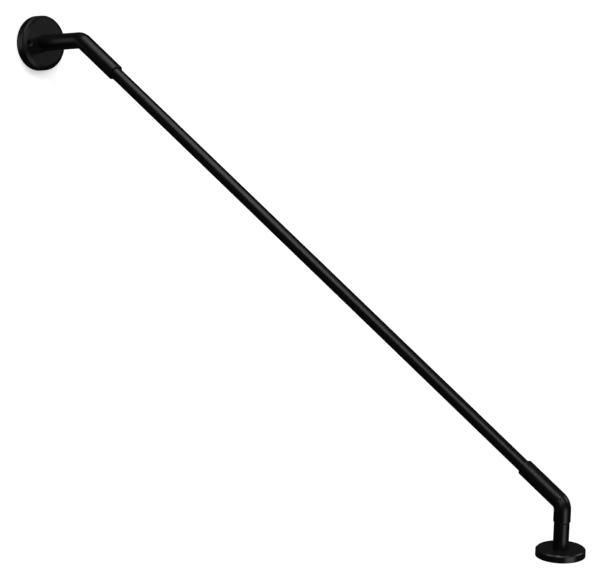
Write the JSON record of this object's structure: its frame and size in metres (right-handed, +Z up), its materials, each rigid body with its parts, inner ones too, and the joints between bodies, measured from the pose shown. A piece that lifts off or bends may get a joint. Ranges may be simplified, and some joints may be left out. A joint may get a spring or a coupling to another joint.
{
  "type": "door canopy bracket",
  "caption": "Sloping tie-rod bracket for a door canopy: round wall rosette, bent arm, straight rod, lower elbow, pin and round canopy flange, coated satin black.",
  "frame": {"origin": "centre of the wall rosette's back face, midway between the two wall screw holes", "axes": "+X out from the wall, +Z up, +Y along the wall; the bracket lies in the plane Y = 0"},
  "size_m": [0.8487, 0.069, 0.6889],
  "materials": {
    "coated_disc": "satin black powder coat",
    "coated_elbow": "satin black powder coat",
    "coated_tube": "satin black powder coat",
    "coated_pin": "satin black powder coat",
    "plain_screw": "plain zinc-plated steel",
    "black_screw": "blackened steel"
  },
  "bodies": {
    "root": {"wall_rosette": "coated_disc", "centre_screw": "plain_screw", "wall_elbow": "coated_elbow", "tie_rod": "coated_tube", "lower_elbow": "coated_elbow", "canopy_pin": "coated_pin", "canopy_flange": "coated_disc", "set_screws": "black_screw"}
  },
  "joints": []
}
